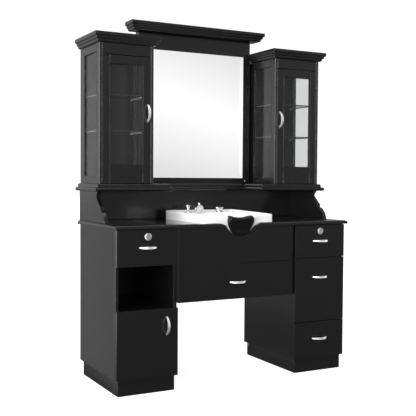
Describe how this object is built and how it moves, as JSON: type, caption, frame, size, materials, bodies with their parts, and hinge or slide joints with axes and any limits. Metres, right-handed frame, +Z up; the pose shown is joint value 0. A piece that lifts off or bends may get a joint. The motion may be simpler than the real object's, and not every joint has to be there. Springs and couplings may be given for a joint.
{
  "type": "shampoo station",
  "caption": "black salon wash station with a white shampoo bowl and neck rest in the counter, drawers and open niche below, glazed cabinets and a bevelled mirror above",
  "frame": {"origin": "on the floor, at the middle of the station's width and depth", "axes": "+X to the right as seen by someone facing the mirror, +Y to the wall, +Z up"},
  "size_m": [1.4662, 0.594, 1.987],
  "materials": {
    "black_laminate": "satin black laminate on board",
    "black_gloss_laminate": "semi-gloss black laminate on board",
    "white_acrylic": "glossy white moulded acrylic",
    "black_cushion": "soft matte black",
    "chrome": "bright chrome plate",
    "steel": "plain steel",
    "clear_glass": "clear float glass",
    "mirror": "silvered bevelled glass",
    "drawer_melamine": "matte pale melamine on board",
    "runner_beech": "waxed hardwood"
  },
  "bodies": {
    "station": {"plinths": "black_laminate", "pedestal_sides": "black_laminate", "pedestal_boards": "black_laminate", "pedestal_backs": "black_laminate", "apron": "black_laminate", "bay_sides": "black_laminate", "bay_back_rail": "black_laminate", "countertop": "black_gloss_laminate", "bowl": "white_acrylic", "neck_rest": "black_cushion", "drain_fitting": "chrome", "tap_bases": "chrome", "spray_head": "chrome", "riser_back": "black_laminate", "scroll_brackets": "black_laminate", "ledge_board": "black_gloss_laminate", "ledge_bead": "black_gloss_laminate", "cabinet_sides": "black_laminate", "cabinet_backs": "black_laminate", "cabinet_tops": "black_laminate", "frieze_rails": "black_laminate", "cabinet_cornices": "black_laminate", "side_panes": "clear_glass", "glass_shelves": "clear_glass", "shelf_pins": "steel", "mirror_back": "black_laminate", "mirror_board": "black_laminate", "mirror_glass": "mirror", "centre_cornice": "black_laminate", "runner_strips": "runner_beech", "pivot_hinges": "steel"},
    "left_drawer": {"left_drawer_front": "black_laminate", "left_drawer_box": "drawer_melamine", "left_drawer_handle": "chrome", "left_drawer_lock": "steel"},
    "left_drawer_plug": {"left_drawer_plug": "chrome"},
    "wide_drawer": {"wide_drawer_front": "black_laminate", "wide_drawer_box": "drawer_melamine", "wide_drawer_handle": "chrome"},
    "right_top_drawer": {"right_top_drawer_front": "black_laminate", "right_top_drawer_box": "drawer_melamine", "right_top_drawer_handle": "chrome", "right_top_drawer_lock": "steel"},
    "right_top_drawer_plug": {"right_top_drawer_plug": "chrome"},
    "right_middle_drawer": {"right_middle_drawer_front": "black_laminate", "right_middle_drawer_box": "drawer_melamine", "right_middle_drawer_handle": "chrome"},
    "right_bottom_drawer": {"right_bottom_drawer_front": "black_laminate", "right_bottom_drawer_box": "drawer_melamine", "right_bottom_drawer_handle": "chrome"},
    "base_door": {"base_door": "black_laminate", "base_door_handle": "chrome"},
    "left_door": {"left_door_frame": "black_laminate", "left_door_pane": "clear_glass", "left_door_handle": "chrome"},
    "right_door": {"right_door_frame": "black_laminate", "right_door_pane": "clear_glass", "right_door_handle": "chrome"},
    "cold_knob": {"cold_knob": "chrome"},
    "hot_knob": {"hot_knob": "chrome"}
  },
  "joints": [
    {"name": "left_drawer_slide", "type": "slide", "parent": "station", "child": "left_drawer", "axis": [0, -1, 0], "range_m": [0, 0.38]},
    {"name": "left_drawer_plug_turn", "type": "hinge", "parent": "left_drawer", "child": "left_drawer_plug", "pos_m": [-0.535, -0.265, 0.805], "axis": [0, -1, 0], "range_deg": [0, 90]},
    {"name": "wide_drawer_slide", "type": "slide", "parent": "station", "child": "wide_drawer", "axis": [0, -1, 0], "range_m": [0, 0.38]},
    {"name": "right_top_drawer_slide", "type": "slide", "parent": "station", "child": "right_top_drawer", "axis": [0, -1, 0], "range_m": [0, 0.38]},
    {"name": "right_top_drawer_plug_turn", "type": "hinge", "parent": "right_top_drawer", "child": "right_top_drawer_plug", "pos_m": [0.535, -0.265, 0.805], "axis": [0, -1, 0], "range_deg": [0, 90]},
    {"name": "right_middle_drawer_slide", "type": "slide", "parent": "station", "child": "right_middle_drawer", "axis": [0, -1, 0], "range_m": [0, 0.38]},
    {"name": "right_bottom_drawer_slide", "type": "slide", "parent": "station", "child": "right_bottom_drawer", "axis": [0, -1, 0], "range_m": [0, 0.38]},
    {"name": "base_door_swing", "type": "hinge", "parent": "station", "child": "base_door", "pos_m": [-0.7015, -0.2595, 0.256], "axis": [0, 0, -1], "range_deg": [0, 110]},
    {"name": "left_door_swing", "type": "hinge", "parent": "station", "child": "left_door", "pos_m": [-0.6705, 0.002, 1.41], "axis": [0, 0, -1], "range_deg": [0, 110]},
    {"name": "right_door_swing", "type": "hinge", "parent": "station", "child": "right_door", "pos_m": [0.6705, 0.002, 1.41], "axis": [0, 0, 1], "range_deg": [0, 110]},
    {"name": "cold_knob_turn", "type": "hinge", "parent": "station", "child": "cold_knob", "pos_m": [-0.085, 0.18, 0.931], "axis": [0, 0, 1], "range_deg": [0, 180]},
    {"name": "hot_knob_turn", "type": "hinge", "parent": "station", "child": "hot_knob", "pos_m": [0.121, 0.18, 0.918], "axis": [0, 0, 1], "range_deg": [0, 180]}
  ]
}
